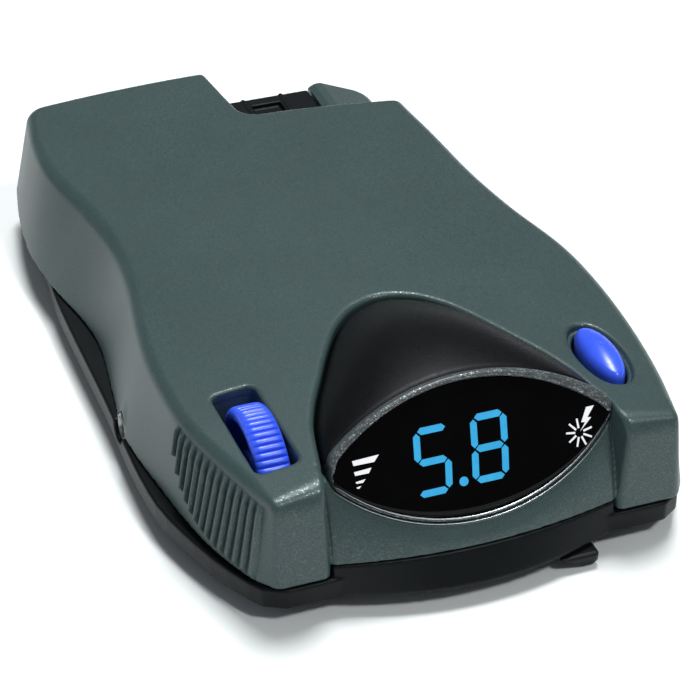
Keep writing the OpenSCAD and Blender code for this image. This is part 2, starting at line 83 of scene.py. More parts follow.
# Controls and fastenings
WHEEL = np.array([-31.2, 19.2, 13.8])
WHEEL_R = 11.0
WHEEL_W = 5.8
WHEEL_RIBS = 54
RIB_HEIGHT = 0.5
SLOT_W = 7.4         # slot in the roof that the wheel stands in
SLOT_L = 21.4
BUTTON = (30.0, 19.6)
BUTTON_L = 15.4
BUTTON_W = 6.4
KNOB = (18.4, 2.0)   # manual knob at rest, in its slot
SLIDE_TRAVEL = 24.0
INSERT_Y = 49.5
INSERT_R = 2.6
INSERT_END = 37.4    # inner end of the inserts, from the centre line
BORE_R = 1.65
SHROUD = (-1.6, 18.5, 100.0, 135.0, 2.4, 14.2)    # x, y and z limits of the socket
SCREWS = [(-37, 37), (33, 37), (-37, 98), (24, 92)]

# Half-widths of the case by distance behind the front corners, at the roof and at the seam.
LEFT_TOP = [(0, 34.8), (12, 38), (26, 41.8), (40, 42.5), (54, 41.4), (70, 38.9), (82, 38.3),
            (95, 39.7), (110, 42.7), (122, 42.6), (134, 40.6)]
LEFT_BASE = [(0, 34.8), (4, 37.8), (15, 42), (31, 44.9), (46, 46.6), (58, 45.3), (73, 43.5),
             (82, 44.1), (95, 46.6), (107, 47.8), (120, 46.8), (134, 44)]
RIGHT_TOP = [(0, 35.4), (12, 38), (26, 39.7), (40, 40.2), (54, 39.3), (70, 35.6), (84, 33.3),
             (100, 31.9), (113, 30.5), (138, 29.2)]
RIGHT_BASE = [(0, 36.8), (4, 39.2), (15, 42), (31, 43.8), (46, 45), (58, 42.8), (73, 38.8),
              (91, 37), (113, 34.4), (138, 32.8)]
LEFT_TRAY = [(0, 34.8), (4, 38.4), (15, 43.2), (30, 46.8), (60, 46.8), (90, 46.9), (104, 46)]
RIGHT_TRAY = [(0, 36.8), (4, 39.6), (15, 42.8), (31, 44.8), (50, 45), (70, 42.3), (90, 39.4),
              (113, 35.3), (131, 33.8)]
# Rear edge of the hood opening: distance behind the front corners by distance from the middle.
ARCH = [(-5.4, 44.2), (0, 45.8), (5.4, 44.2), (9.2, 41), (12, 37.2), (16.6, 29), (22.4, 17),
        (25.2, 5)]

FINE = 1.0


# ---- curves and distances ----

def smooth_curve(points, at):
    """Smooth curve through [position, value] points, carried on straight past both ends."""
    spots = np.array([p[0] for p in points], float)
    values = np.array([p[1] for p in points], float)
    slope = np.empty_like(values)
    slope[1:-1] = (values[2:] - values[:-2]) / (spots[2:] - spots[:-2])
    slope[0] = (values[1] - values[0]) / (spots[1] - spots[0])
    slope[-1] = (values[-1] - values[-2]) / (spots[-1] - spots[-2])
    at = np.asarray(at, float)
    held = np.clip(at, spots[0], spots[-1])
    i = np.clip(np.searchsorted(spots, held, side="right") - 1, 0, len(spots) - 2)
    h = spots[i + 1] - spots[i]
    t = (held - spots[i]) / h
    u = 1 - t
    curve = (values[i] * (1 + 2 * t) * u * u + values[i + 1] * t * t * (3 - 2 * t)
             + slope[i] * h * t * u * u - slope[i + 1] * h * t * t * u)
    beyond = at - held
    end_slope = np.where(beyond < 0, slope[0], slope[-1])
    return curve + beyond * end_slope


def mix(a, b, t):
    """The value a share t of the way from a to b."""
    return a + (b - a) * t


def overlap(*fields):
    """Where all the fields overlap, with sharp edges."""
    return reduce(np.maximum, fields)


def both(a, b, r):
    """Where a and b overlap, with the edge between them rounded to radius r."""
    if np.isscalar(r) and r <= 0:
        return np.maximum(a, b)
    return np.minimum(-r, np.maximum(a, b)) + np.hypot(np.maximum(a + r, 0), np.maximum(b + r, 0))


def either(a, b, r=0.0):
    """a and b together, with the inner corner between them filled to radius r."""
    return -both(-a, -b, r)


def cut(a, b, r=0.0):
    """a with b taken away, with the edge rounded to radius r."""
    return both(a, -b, r)


def box_distance(x, y, centre, size, r):
    """Distance to a flat rectangle with rounded corners."""
    dx = np.abs(x - centre[0]) - size[0] / 2 + r
    dy = np.abs(y - centre[1]) - size[1] / 2 + r
    return np.hypot(np.maximum(dx, 0), np.maximum(dy, 0)) + np.minimum(np.maximum(dx, dy), 0) - r


def block_distance(x, y, z, low, high, r):
    """Distance to an upright block with rounded edges."""
    middle = [(a + b) / 2 for a, b in zip(low, high)]
    half = [(b - a) / 2 - r for a, b in zip(low, high)]
    d = [np.abs(v - m) - h for v, m, h in zip((x, y, z), middle, half)]
    outside = np.sqrt(sum(np.maximum(q, 0) ** 2 for q in d))
    return outside + np.minimum(np.maximum(np.maximum(d[0], d[1]), d[2]), 0) - r


def oval_distance(x, y, centre, length, width):
    """Distance to an upright oval, longest along Y."""
    u = (x - centre[0]) / (width / 2)
    v = (y - centre[1]) / (length / 2)
    steep = np.hypot(u / (width / 2), v / (length / 2))
    return (np.hypot(u, v) - 1) * np.hypot(u, v) / np.maximum(steep, 1e-6)


def capsule_distance(x, y, z, a, b, ra, rb):
    """Distance to a tapered rod with round ends from a to b."""
    a = np.array(a, float)
    along = np.array(b, float) - a
    t = ((x - a[0]) * along[0] + (y - a[1]) * along[1] + (z - a[2]) * along[2]) / (along @ along)
    t = np.clip(t, 0, 1)
    gap = [v - a[i] - along[i] * t for i, v in enumerate((x, y, z))]
    return np.sqrt(gap[0] ** 2 + gap[1] ** 2 + gap[2] ** 2) - mix(ra, rb, t)


def outline_distance(points, x, y):
    """Distance to a flat outline, negative inside."""
    nearest = np.full(np.broadcast(x, y).shape, 1e9)
    inside = np.zeros(nearest.shape, bool)
    for a, b in zip(points, points[1:] + points[:1]):
        ex, ey = b[0] - a[0], b[1] - a[1]
        wx, wy = x - a[0], y - a[1]
        t = np.clip((wx * ex + wy * ey) / (ex * ex + ey * ey), 0, 1)
        nearest = np.minimum(nearest, (wx - ex * t) ** 2 + (wy - ey * t) ** 2)
        if ey != 0:
            crosses = ((a[1] > y) != (b[1] > y)) & (x < ex * wy / ey + a[0])
            inside ^= crosses
    return np.where(inside, -1.0, 1.0) * np.sqrt(nearest)


# ---- the display face ----

def face_coords(y, z):
    """(height up the leaning face, distance out of it) of a point."""
    dy, dz = y - FACE_Y, z - FACE_Z
    up = dy * math.cos(LEAN) + dz * math.sin(LEAN)
    out = dz * math.cos(LEAN) - dy * math.sin(LEAN)
    return up, out


def face_point(x, up, out):
    """The point on the leaning face, in the frame of the case."""
    return (x, FACE_Y + up * math.cos(LEAN) - out * math.sin(LEAN),
            FACE_Z + up * math.sin(LEAN) + out * math.cos(LEAN))


def eye_low(x):
    """Height up the face of the eye's lower arc."""
    return EYE_FOOT + EYE_LOW_R - np.sqrt(np.maximum(EYE_LOW_R ** 2 - x ** 2, 0))


def eye_high(x):
    """Height up the face of the eye's upper arc."""
    return EYE_H - EYE_HIGH_R + np.sqrt(np.maximum(EYE_HIGH_R ** 2 - (x - BROW_X) ** 2, 0))


def eye_arcs(x, up):
    """Distances to the eye's lower and upper arc, negative inside."""
    low = np.hypot(x, up - EYE_FOOT - EYE_LOW_R) - EYE_LOW_R
    high = np.hypot(x - BROW_X, up - (EYE_H - EYE_HIGH_R)) - EYE_HIGH_R
    return low, high


def frame_outline(x, up):
    """Distance to the outline of the frame round the lens, with rounded blunt ends."""
    low, high = eye_arcs(x, up)
    return both(np.maximum(low, high), np.abs(x - EYE_X) - EYE_END, 1.2)


def lens_height(up):
    """How far the lens stands out of the face, at a height up the face."""
    return LENS_TOP - LENS_BULGE_R + np.sqrt(LENS_BULGE_R ** 2 - (up - EYE_H / 2) ** 2)


# ---- making meshes ----

def place(mesh, name, material, body, slot, nodes):
    """Puts a finished mesh on its body, in place of its CAD nodes."""
    piece = bpy.data.objects.new(name, mesh)
    bpy.context.scene.collection.objects.link(piece)
    mesh.materials.append(material)
    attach(piece, body)
    if nodes:
        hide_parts(*nodes)
    return piece


def mesh_piece(name, verts, faces, material, body, slot, *nodes, smooth=True):
    """A piece from points and faces."""
    mesh = bpy.data.meshes.new(name)
    mesh.from_pydata([[c * MM for c in v] for v in verts], [], faces)
    mesh.validate()
    for polygon in mesh.polygons:
        polygon.use_smooth = smooth
    return place(mesh, name, material, body, slot, nodes)


def add_soft_edges(piece, width_mm):
    """Rounds the piece's sharp edges a little."""
    bevel = piece.modifiers.new("soft_edges", "BEVEL")
    bevel.width = width_mm * MM
    bevel.segments = 2
    bevel.limit_method = "ANGLE"
    bevel.angle_limit = math.radians(35)


def ring_quads(start, rings, sides, closed=False):
    """Faces that join each ring of points to the next, and the last to the first if closed."""
    quads = []
    for i in range(rings if closed else rings - 1):
        near = start + i * sides
        far = start + (i + 1) % rings * sides
        for k in range(sides):
            after = (k + 1) % sides
            quads.append((near + k, near + after, far + after, far + k))
    return quads


def tube_faces(start, rings, sides):
    """Faces of a tube made of rings of points, closed at both ends."""
    last = start + (rings - 1) * sides
    caps = [tuple(start + k for k in reversed(range(sides))),
            tuple(last + k for k in range(sides))]
    return ring_quads(start, rings, sides) + caps


def sample(values, spots):
    """Values of a grid between its points, at spots given in grid steps."""
    last = np.array(values.shape) - 1.001
    spots = np.clip(spots, 0, last)
    i = spots.astype(int)
    f = spots - i
    total = 0
    for corner in range(8):
        step = [(corner >> k) & 1 for k in range(3)]
        weight = np.ones(len(spots))
        for k in range(3):
            weight = weight * (f[:, k] if step[k] else 1 - f[:, k])
        total = total + weight * values[i[:, 0] + step[0], i[:, 1] + step[1], i[:, 2] + step[2]]
    return total


def field_piece(name, field, low, high, step, material, body, slot, *nodes):
    """Mesh of the surface where field(x, y, z) is zero, shaded with the field's own slope."""
    step = step * FINE
    low = np.array(low, float)
    count = np.ceil((np.array(high) - low) / step).astype(int) + 1
    x, y, z = [low[k] + step * np.arange(count[k]) for k in range(3)]
    values = field(x[:, None, None], y[None, :, None], z[None, None, :])
    values = np.ascontiguousarray(np.broadcast_to(values, tuple(count)), dtype=np.float32)
    grid = openvdb.FloatGrid(4 * step)
    grid.copyFromArray(np.clip(values, -4 * step, 4 * step))
    points, triangles, quads = grid.convertToPolygons(isovalue=0.0, adaptivity=0.0)
    faces = [list(map(int, q)) for q in quads] + [list(map(int, t)) for t in triangles]
    slope = np.empty((len(points), 3))
    for k in range(3):
        reach = np.zeros(3)
        reach[k] = 0.6
        slope[:, k] = sample(values, points + reach) - sample(values, points - reach)
    slope /= np.maximum(np.linalg.norm(slope, axis=1), 1e-9)[:, None]
    mesh = bpy.data.meshes.new(name)
    mesh.from_pydata(((points * step + low) * MM).tolist(), [], faces)
    agreement = 0
    for polygon in mesh.polygons:
        polygon.use_smooth = True
        agreement += polygon.normal.dot(Vector(slope[polygon.vertices[0]]))
    if agreement < 0:
        mesh.flip_normals()
    mesh.normals_split_custom_set_from_vertices(slope.tolist())
    return place(mesh, name, material, body, slot, nodes)


# ---- materials ----

def new_material(name):
    """A node material, its tree, its shader and the socket with the place on the object."""
    material = bpy.data.materials.new(name)
    material.use_nodes = True
    tree = material.node_tree
    shader = tree.nodes["Principled BSDF"]
    coords = tree.nodes.new("ShaderNodeTexCoord")
    return material, tree, shader, coords.outputs["Object"]


def noise(tree, spot, grain_mm, detail, roughness=0.6):
    """Noise texture with grains of about grain_mm."""
    node = tree.nodes.new("ShaderNodeTexNoise")
    node.inputs["Scale"].default_value = 1 / (grain_mm * MM)
    node.inputs["Detail"].default_value = detail
    node.inputs["Roughness"].default_value = roughness
    tree.links.new(spot, node.inputs["Vector"])
    return node.outputs["Fac"]


def ramp(tree, source, stops):
    """Turns a value into a colour, through [position, colour] stops."""
    node = tree.nodes.new("ShaderNodeValToRGB")
    elements = node.color_ramp.elements
    while len(elements) < len(stops):
        elements.new(0.5)
    for element, (spot, colour) in zip(elements, stops):
        element.position = spot
        element.color = (*colour, 1)
    tree.links.new(source, node.inputs["Fac"])
    return node.outputs["Color"]


def blend_colours(tree, factor, a, b, kind="MIX"):
    """Colour between a and b. They and the factor are constants or sockets."""
    node = tree.nodes.new("ShaderNodeMix")
    node.data_type = "RGBA"
    node.blend_type = kind
    for socket, value in ((node.inputs["Factor"], factor), (node.inputs[6], a), (node.inputs[7], b)):
        if isinstance(value, float):
            socket.default_value = value
        elif isinstance(value, tuple):
            socket.default_value = (*value, 1)
        else:
            tree.links.new(value, socket)
    return node.outputs[2]


def add_bump(tree, shader, height, depth_mm, strength, under=None):
    """Bump on the shader, on top of another bump if under gives one."""
    node = tree.nodes.new("ShaderNodeBump")
    node.inputs["Strength"].default_value = strength
    node.inputs["Distance"].default_value = depth_mm * MM
    tree.links.new(height, node.inputs["Height"])
    if under is not None:
        tree.links.new(under.outputs["Normal"], node.inputs["Normal"])
    tree.links.new(node.outputs["Normal"], shader.inputs["Normal"])
    return node


def add_roughness(tree, shader, source, smooth, rough, rough_from=0.7):
    """Roughness between two values, led by the source."""
    shade = ramp(tree, source, [(0.3, (smooth,) * 3), (rough_from, (rough,) * 3)])
    tree.links.new(shade, shader.inputs["Roughness"])


def moulded(name, colour, roughness, grain_mm, depth_mm=0.02, spread=0.18, coat=0.0,
            specular=0.5):
    """Moulded plastic: slight mottling, a fine grain and uneven gloss."""
    material, tree, shader, spot = new_material(name)
    mottle = noise(tree, spot, 6.0, 3.0)
    darker = tuple(c * (1 - spread) for c in colour)
    lighter = tuple(min(c * (1 + spread), 1) for c in colour)
    tint = ramp(tree, mottle, [(0.3, darker), (0.7, lighter)])
    tree.links.new(tint, shader.inputs["Base Color"])
    grain = noise(tree, spot, grain_mm, 3.0)
    add_roughness(tree, shader, grain, roughness * 0.85, min(roughness * 1.15, 1))
    shader.inputs["Specular IOR Level"].default_value = specular
    shader.inputs["Coat Weight"].default_value = coat
    shader.inputs["Coat Roughness"].default_value = 0.2
    add_bump(tree, shader, grain, depth_mm, 0.6)
    return material


def flecked(name, colour, roughness, fleck, amount, depth_mm, fleck_mm, shine):
    """Satin plastic with fine metallic flecks in it, left out on its upright side walls as painted
    shade that keeps those walls darker.
    """
    material, tree, shader, spot = new_material(name)
    speck = noise(tree, spot, 1.3 * fleck_mm, 1.0, 0.8)
    broad = noise(tree, spot, 14.0, 2.0)
    dark = tuple(c * 0.8 for c in colour)
    light = tuple(c * 1.22 for c in colour)
    body = ramp(tree, speck, [(0.35, dark), (0.65, light)])
    shade = ramp(tree, broad, [(0.3, (0.94,) * 3), (0.7, (1.05,) * 3)])
    tone = blend_colours(tree, 1.0, body, shade, "MULTIPLY")
    cells = tree.nodes.new("ShaderNodeTexVoronoi")
    cells.inputs["Scale"].default_value = 1 / (fleck_mm * MM)
    tree.links.new(spot, cells.inputs["Vector"])
    chosen = tree.nodes.new("ShaderNodeSeparateColor")
    tree.links.new(cells.outputs["Color"], chosen.inputs["Color"])
    flecks = ramp(tree, chosen.outputs["Red"], [(1 - amount, (0, 0, 0)), (1 - amount / 3, (1, 1, 1))])
    # Painted shade: the flecks are left out where the surface faces sideways, so the upright side
    # walls stay darker and plainer than the roof.
    facing = tree.nodes.new("ShaderNodeSeparateXYZ")
    tree.links.new(spot.node.outputs["Normal"], facing.inputs["Vector"])
    sideways = tree.nodes.new("ShaderNodeMath")
    sideways.operation = "ABSOLUTE"
    tree.links.new(facing.outputs["X"], sideways.inputs[0])
    shown = ramp(tree, sideways.outputs["Value"], [(0.35, (1, 1, 1)), (0.8, (0, 0, 0))])
    flecks = blend_colours(tree, shown, (0.0, 0.0, 0.0), flecks)
    colours = blend_colours(tree, flecks, tone, fleck)
    tree.links.new(colours, shader.inputs["Base Color"])
    gloss = ramp(tree, flecks, [(0.0, (roughness,) * 3), (1.0, (roughness * 0.85,) * 3)])
    tree.links.new(gloss, shader.inputs["Roughness"])
    metallic = ramp(tree, flecks, [(0.0, (0, 0, 0)), (1.0, (shine,) * 3)])
    tree.links.new(metallic, shader.inputs["Metallic"])
    shader.inputs["Specular IOR Level"].default_value = 0.36
    fine = add_bump(tree, shader, speck, depth_mm, 0.7)
    add_bump(tree, shader, chosen.outputs["Green"], depth_mm * 0.6, 0.5, fine)
    return material


def metal(name, colour, roughness):
    """Machined or drawn metal: fine lines along one direction, with duller patches."""
    scratch = 0.3
    material, tree, shader, spot = new_material(name)
    shader.inputs["Metallic"].default_value = 1.0
    mapping = tree.nodes.new("ShaderNodeMapping")
    mapping.inputs["Scale"].default_value = (1, 1, 12)
    tree.links.new(spot, mapping.inputs["Vector"])
    lines = noise(tree, mapping.outputs["Vector"], 1 / 0.9, 4.0, 0.5)
    patches = noise(tree, spot, 2.5, 3.0)
    tint = ramp(tree, patches, [(0.3, tuple(c * 0.8 for c in colour)), (0.7, colour)])
    tree.links.new(tint, shader.inputs["Base Color"])
    add_roughness(tree, shader, lines, roughness * 0.8, min(roughness + scratch * 0.4, 1))
    add_bump(tree, shader, lines, 0.01, scratch)
    return material


def black_glass(name):
    """Polished tinted lens with the faintest orange peel and dust haze."""
    material, tree, shader, spot = new_material(name)
    haze = noise(tree, spot, 9.0, 4.0)
    tint = ramp(tree, haze, [(0.35, (0.0008, 0.0008, 0.001)), (0.8, (0.0018, 0.0018, 0.0022))])
    tree.links.new(tint, shader.inputs["Base Color"])
    add_roughness(tree, shader, haze, 0.05, 0.10, 0.8)
    shader.inputs["Specular IOR Level"].default_value = 0.14
    wave = noise(tree, spot, 30.0, 1.0)
    add_bump(tree, shader, wave, 0.03, 0.3)
    return material


def glowing(name, colour, strength, edge):
    """Lit surface with a slight unevenness in its glow."""
    material, tree, shader, spot = new_material(name)
    uneven = noise(tree, spot, 1.6, 2.0)
    glow = ramp(tree, uneven, [(0.3, edge), (0.75, colour)])
    tree.links.new(glow, shader.inputs["Emission Color"])
    shader.inputs["Emission Strength"].default_value = strength
    shader.inputs["Base Color"].default_value = (*(c * 0.08 for c in colour), 1)
    shader.inputs["Roughness"].default_value = 0.35
    return material


def circuit_board(name):
    """Green solder mask over copper tracks."""
    material, tree, shader, spot = new_material(name)
    tracks = tree.nodes.new("ShaderNodeTexBrick")
    tracks.inputs["Scale"].default_value = 260
    tracks.inputs["Mortar Size"].default_value = 0.06
    tree.links.new(spot, tracks.inputs["Vector"])
    mottle = noise(tree, spot, 3.0, 3.0)
    mask = ramp(tree, mottle, [(0.3, (0.008, 0.075, 0.03)), (0.7, (0.012, 0.11, 0.045))])
    colour = blend_colours(tree, tracks.outputs["Fac"], mask, (0.03, 0.2, 0.09))
    tree.links.new(colour, shader.inputs["Base Color"])
    add_roughness(tree, shader, mottle, 0.3, 0.42)
    add_bump(tree, shader, tracks.outputs["Fac"], 0.03, 0.5)
    return material


SHELL = flecked("shell_grey_green", (0.042, 0.070, 0.070), roughness=0.38,
                fleck=(0.105, 0.13, 0.13), amount=0.22, depth_mm=0.014, fleck_mm=0.18, shine=0.8)
BROW = flecked("brow_grey", (0.060, 0.068, 0.072), roughness=0.32,
               fleck=(0.30, 0.33, 0.34), amount=0.25, depth_mm=0.025, fleck_mm=0.22, shine=0.6)
BLACK = moulded("lower_black", (0.0035, 0.0048, 0.0055), 0.42, 0.4, specular=0.16)
HOOD = moulded("hood_black", (0.0028, 0.0034, 0.0042), 0.42, 0.5, spread=0.25, specular=0.14)
KNOB_BLACK = moulded("knob_black", (0.0040, 0.0045, 0.0050), 0.42, 0.3, specular=0.2)
BLUE = moulded("control_blue", (0.040, 0.110, 0.92), 0.33, 0.6, 0.012, spread=0.10, coat=0.15)
LENS = black_glass("lens_black")
BEAD = metal("rim_bright", (0.62, 0.64, 0.66), 0.3)
LIT_BLUE = glowing("digit_cyan", (0.040, 0.44, 0.80), 0.92, (0.030, 0.37, 0.72))
LIT_WHITE = glowing("icon_white", (0.92, 0.93, 0.95), 0.95, (0.85, 0.86, 0.9))
STEEL = metal("screw_steel", (0.55, 0.56, 0.57), 0.28)
DARK_STEEL = metal("screw_black", (0.10, 0.10, 0.11), 0.35)
INSERT = metal("insert_steel", (0.32, 0.32, 0.31), 0.28)
CONTACT = metal("contact_gold", (0.80, 0.62, 0.28), 0.22)
ALUMINIUM = metal("heat_aluminium", (0.68, 0.69, 0.70), 0.35)
BOARD = circuit_board("board_green")
CHIP = moulded("chip_black", (0.018, 0.018, 0.020), 0.55, 0.2)
PALE = moulded("pale_plastic", (0.62, 0.59, 0.50), 0.42, 0.5, spread=0.06)
RUBBER = moulded("dome_rubber", (0.22, 0.23, 0.24), 0.7, 0.3, 0.03)
SLEEVE = moulded("capacitor_sleeve", (0.02, 0.035, 0.16), 0.3, 0.6, 0.01)
CORE = moulded("inductor_core", (0.16, 0.10, 0.06), 0.6, 0.25, 0.05)
LABEL = moulded("label_silver", (0.50, 0.51, 0.52), 0.5, 0.8, 0.008, spread=0.04)


# ---- upper housing ----

def side_distance(x, y, z, base, top, side):
    """Distance out of one side wall, which leans between its seam and its roof line."""
    half_base = smooth_curve(base, y)
    half_top = smooth_curve(top, y)
    rise = (z - SEAM_Z) / (EDGE_Z - SEAM_Z)
    half = mix(half_base, half_top, rise)
    ahead = mix(smooth_curve(base, y + 0.5), smooth_curve(top, y + 0.5), rise)
    lean = (half_top - half_base) / (EDGE_Z - SEAM_Z)
    return (side * x - half) / np.sqrt(1 + (2 * (ahead - half)) ** 2 + lean ** 2)


def walls_distance(x, y, z):
    """Distance out of the two side walls."""
    return np.maximum(side_distance(x, y, z, LEFT_BASE, LEFT_TOP, -1),
                      side_distance(x, y, z, RIGHT_BASE, RIGHT_TOP, 1))


def roof_distance(x, y, z):
    """Distance out of the crowned roof, which flattens towards the rear."""
    left = -smooth_curve(LEFT_TOP, y)
    right = smooth_curve(RIGHT_TOP, y)
    across = np.clip(2 * (x - left) / (right - left) - 1, -1.3, 1.3)
    back = np.clip((y - 85) / 40, 0, 1)
    crown = CROWN * mix(1, REAR_CROWN, back * back * (3 - 2 * back))
    return z - EDGE_Z - crown * (1 - across ** 2)


def case_distance(x, y, z):
    """Distance to the case's outer shape, before anything is cut out of it."""
    slant = 0.7 * (z - SLANT_Z) - 0.714 * (y - FRONT_Y)
    front = both(FRONT_Y + 0.02 * (z - SEAM_Z) - y, slant, 1.3)
    rear = y - np.where(x < NOTCH_X, CASE_REAR, LUG_REAR)
    walls = both(both(walls_distance(x, y, z), front, 0.9), rear, 3.0)
    return both(walls, roof_distance(x, y, z), 0.9 + 0.8 * np.clip((y - 2) / 6, 0, 1))


def arch_distance(x, y, z):
    """Distance to the hood opening and the gap between the pillars, negative inside."""
    away = np.abs(x) + 0.9 * np.clip((19 - z) / 13, 0, 1)
    reach = smooth_curve(ARCH, away)
    steep = smooth_curve(ARCH, away + 0.2) - smooth_curve(ARCH, away - 0.2)
    arch = (y - reach) / np.sqrt(1 + (steep / 0.4) ** 2)
    gap = np.maximum(away - 25.2, y - 6)
    return np.minimum(arch, gap)


def notch_distance(x, y, z):
    """Distance to the room behind the roof's step, negative inside."""
    side = NOTCH_X - (y - NOTCH_Y) * 0.12 - x
    step = NOTCH_Y - x * 0.03 - y
    lug = np.clip((x - 19) / 1.2, 0, 1) * (LUG_Z - NOTCH_Z) - 0.42 * np.maximum(x - 21.5, 0)
    return both(both(side, step, 3.2), NOTCH_Z + lug - z, 0.6)


def bow(x):
    """Share of the front's full bulge: 1 in the middle, 0 at the pillars."""
    return 1 - np.minimum(np.abs(x) / GAP_HALF, 1) ** 2


def front_panel(x, y, z):
    """The sloping panel under the lens, bulging at the bottom, with grooves at its sides."""
    low_y = LIP_TOP_Y - LIP_TOP_SAG * bow(x)
    up_edge = eye_low(np.clip(x, -24.3, 25)) + 0.4
    lip_y = FACE_Y + up_edge * math.cos(LEAN)
    lip_z = FACE_Z + up_edge * math.sin(LEAN)
    t = (z - LIP_Z) / (lip_z - LIP_Z)
    front_y = mix(low_y, lip_y, t) - 0.5 * np.clip(4 * t * (1 - t), 0, 1)
    lean = (lip_y - low_y) / (lip_z - LIP_Z)
    front = (front_y - y) / np.sqrt(1 + lean ** 2)
    panel = both(front, face_coords(y, z)[1] - 0.45, 0.5)
    panel = both(panel, LIP_Z + SEAM_GAP - z, 0.35)
    panel = overlap(panel, -front - 2.2, np.abs(x) - GAP_HALF - 0.6, z - lip_z - 0.4)
    groove = np.hypot(np.abs(x) - GAP_HALF - 0.25, np.maximum(front, -0.4)) - 0.35
    return cut(panel, groove, 0.1)


def insert_boss(x, y, z, side):
    """Rounded swelling of a side wall round its thread insert. side is -1 for the left."""
    wall_x = 46.3 if side < 0 else 44.7
    return capsule_distance(x, y, z, (side * (wall_x - 5.0), INSERT_Y, 9.5),
                            (side * (wall_x - 3.2), INSERT_Y, SEAM_Z), 2.4, 3.7)


def insert_bore(x, y, z, side):
    """Distance to the room for a thread insert, negative inside."""
    bore = np.hypot(y - INSERT_Y, z - SEAM_Z) - INSERT_R - 0.1
    return np.maximum(bore, INSERT_END - side * x)


def socket_room(x, y, r):
    """Distance to the room for the socket, seen from above and open to the rear."""
    x0, x1, y0 = SHROUD[:3]
    length = 51
    centre = ((x0 + x1) / 2, y0 - 0.5 + length / 2)
    return box_distance(x, y, centre, (x1 - x0 + 0.6, length), r)


def upper_housing(x, y, z):
    """The upper shell: corner pillars, front panel, and openings for all that shows."""
    case = case_distance(x, y, z)
    outer = either(case, insert_boss(x, y, z, -1), 1.2)
    outer = either(outer, insert_boss(x, y, z, 1), 1.2)
    solid = cut(outer, arch_distance(x, y, z), 1.0)
    solid = cut(solid, notch_distance(x, y, z), 1.0)
    # The hollow inside: the walls follow the openings near the roof, and the case lower down.
    high_room = solid + WALL
    low_room = overlap(case + WALL, z - 15, y - 108, 11 - y)
    shell = np.maximum(solid, -np.minimum(high_room, low_room))
    skew = 0.045 * (y - WHEEL[1])
    slot = box_distance(x + skew, y, (WHEEL[0] - 0.5, WHEEL[1] + 0.2), (SLOT_W, SLOT_L), 1.5)
    well = oval_distance(x, y, BUTTON, BUTTON_L, BUTTON_W)
    skirt = overlap(slot - 1.3, case, 15 - z, -slot)
    sleeve = overlap(well - 2.2, case, 16 - z, -well)
    shell = np.minimum(np.minimum(shell, skirt), sleeve)
    shell = either(shell, front_panel(x, y, z))
    up, out = face_coords(y, z)
    seat = np.maximum(frame_outline(x, up) - 0.1, -out - BEZEL_DEPTH - 0.3)
    shell = cut(shell, seat, 0.3)
    shell = cut(shell, slot, 0.55)
    dish = np.maximum(well - 1.1, 21.2 - z)
    shell = cut(cut(shell, dish, 0.7), well - 0.35, 0.3)
    shell = np.maximum(shell, -np.maximum(socket_room(x, y, 0.5), z - NOTCH_Z - 0.1))
    for side in (-1, 1):
        shell = cut(shell, insert_bore(x, y, z, side), 0.3)
    return both(shell, SEAM_Z + SEAM_GAP - z, 0.3)


def grip_ribs():
    """Sawtooth ribs standing out of the left wall near the front corner."""
    count = 14
    pitch = 1.82
    height = 0.95
    levels = 12
    head_z = EDGE_Z - 0.9
    verts, faces = [], []
    for i in range(count):
        y0 = 3.0 + pitch * i
        foot_z = 5.0 + 9.0 * 0.7 ** (count - 1 - i)
        start = len(verts)
        for j in range(levels + 1):
            t = j / levels
            z = mix(foot_z, head_z, t)
            depth = height * min(1.0, 12 * t + 0.1, 5 * (1 - t) + 0.05)
            tooth = ((pitch - 0.25, -0.3), (pitch - 0.35, 0.3 * depth), (0.4, 0.95 * depth),
                     (0.18, depth), (0.05, 0.85 * depth), (0.0, -0.3))
            for dy, out in tooth:
                y = y0 + dy
                rise = (z - SEAM_Z) / (EDGE_Z - SEAM_Z)
                half = mix(smooth_curve(LEFT_BASE, y), smooth_curve(LEFT_TOP, y), rise)
                tuck = 1.1 * max(1 - (head_z - z) / 1.4, 0) ** 2
                verts.append((-float(half) - out + tuck, y, z))
        faces += tube_faces(start, levels + 1, len(tooth))
    piece = mesh_piece("grip_ribs", verts, faces, SHELL, "case", "flecked_shell")
    add_soft_edges(piece, 0.05)


# ---- lower housing ----

def tray_outline(inset):
    """Outline of the lower housing, drawn in by inset."""
    left = [(inset - float(smooth_curve(LEFT_TRAY, y)), y) for y in range(104, 7, -4)]
    front = [(inset - 38.4, 4), (inset - 37, 1 + inset), (inset - 34, inset - 0.6)]
    corner = [(35 - inset, inset - 0.6), (37.6 - inset, 1 + inset), (38.8 - inset, 4)]
    right = [(float(smooth_curve(RIGHT_TRAY, y)) - inset, y) for y in range(8, 113, 4)]
    rear = 132.4 - inset
    back = [(32.4 - inset, 120), (31 - inset, rear + 1.8), (19.4 + inset, rear + 1.8),
            (19.4 + inset, rear), (inset - 42.2, rear)]
    block = [(inset + 1.9 - float(smooth_curve(LEFT_BASE, y)), y) for y in range(126, 105, -4)]
    return left + front + corner + right + back + block + [(inset - 45.7, 104 - inset)]


def front_lip(x, y, z):
    """Bowed lip under the front panel, which leans back to meet it."""
    foot_z = 0.6
    foot_y = FRONT_Y - LIP_SAG * bow(x)
    head_y = LIP_TOP_Y - LIP_TOP_SAG * bow(x)
    front = mix(foot_y, head_y, np.clip((z - foot_z) / (LIP_Z - foot_z), 0, 1.2)) - y
    lip = both(both(front * 0.92, 0.4 - z, 0.8), z - LIP_Z, 0.15)
    return both(lip, np.maximum(np.abs(x) - GAP_HALF - 0.1, y - 3), 0.2)


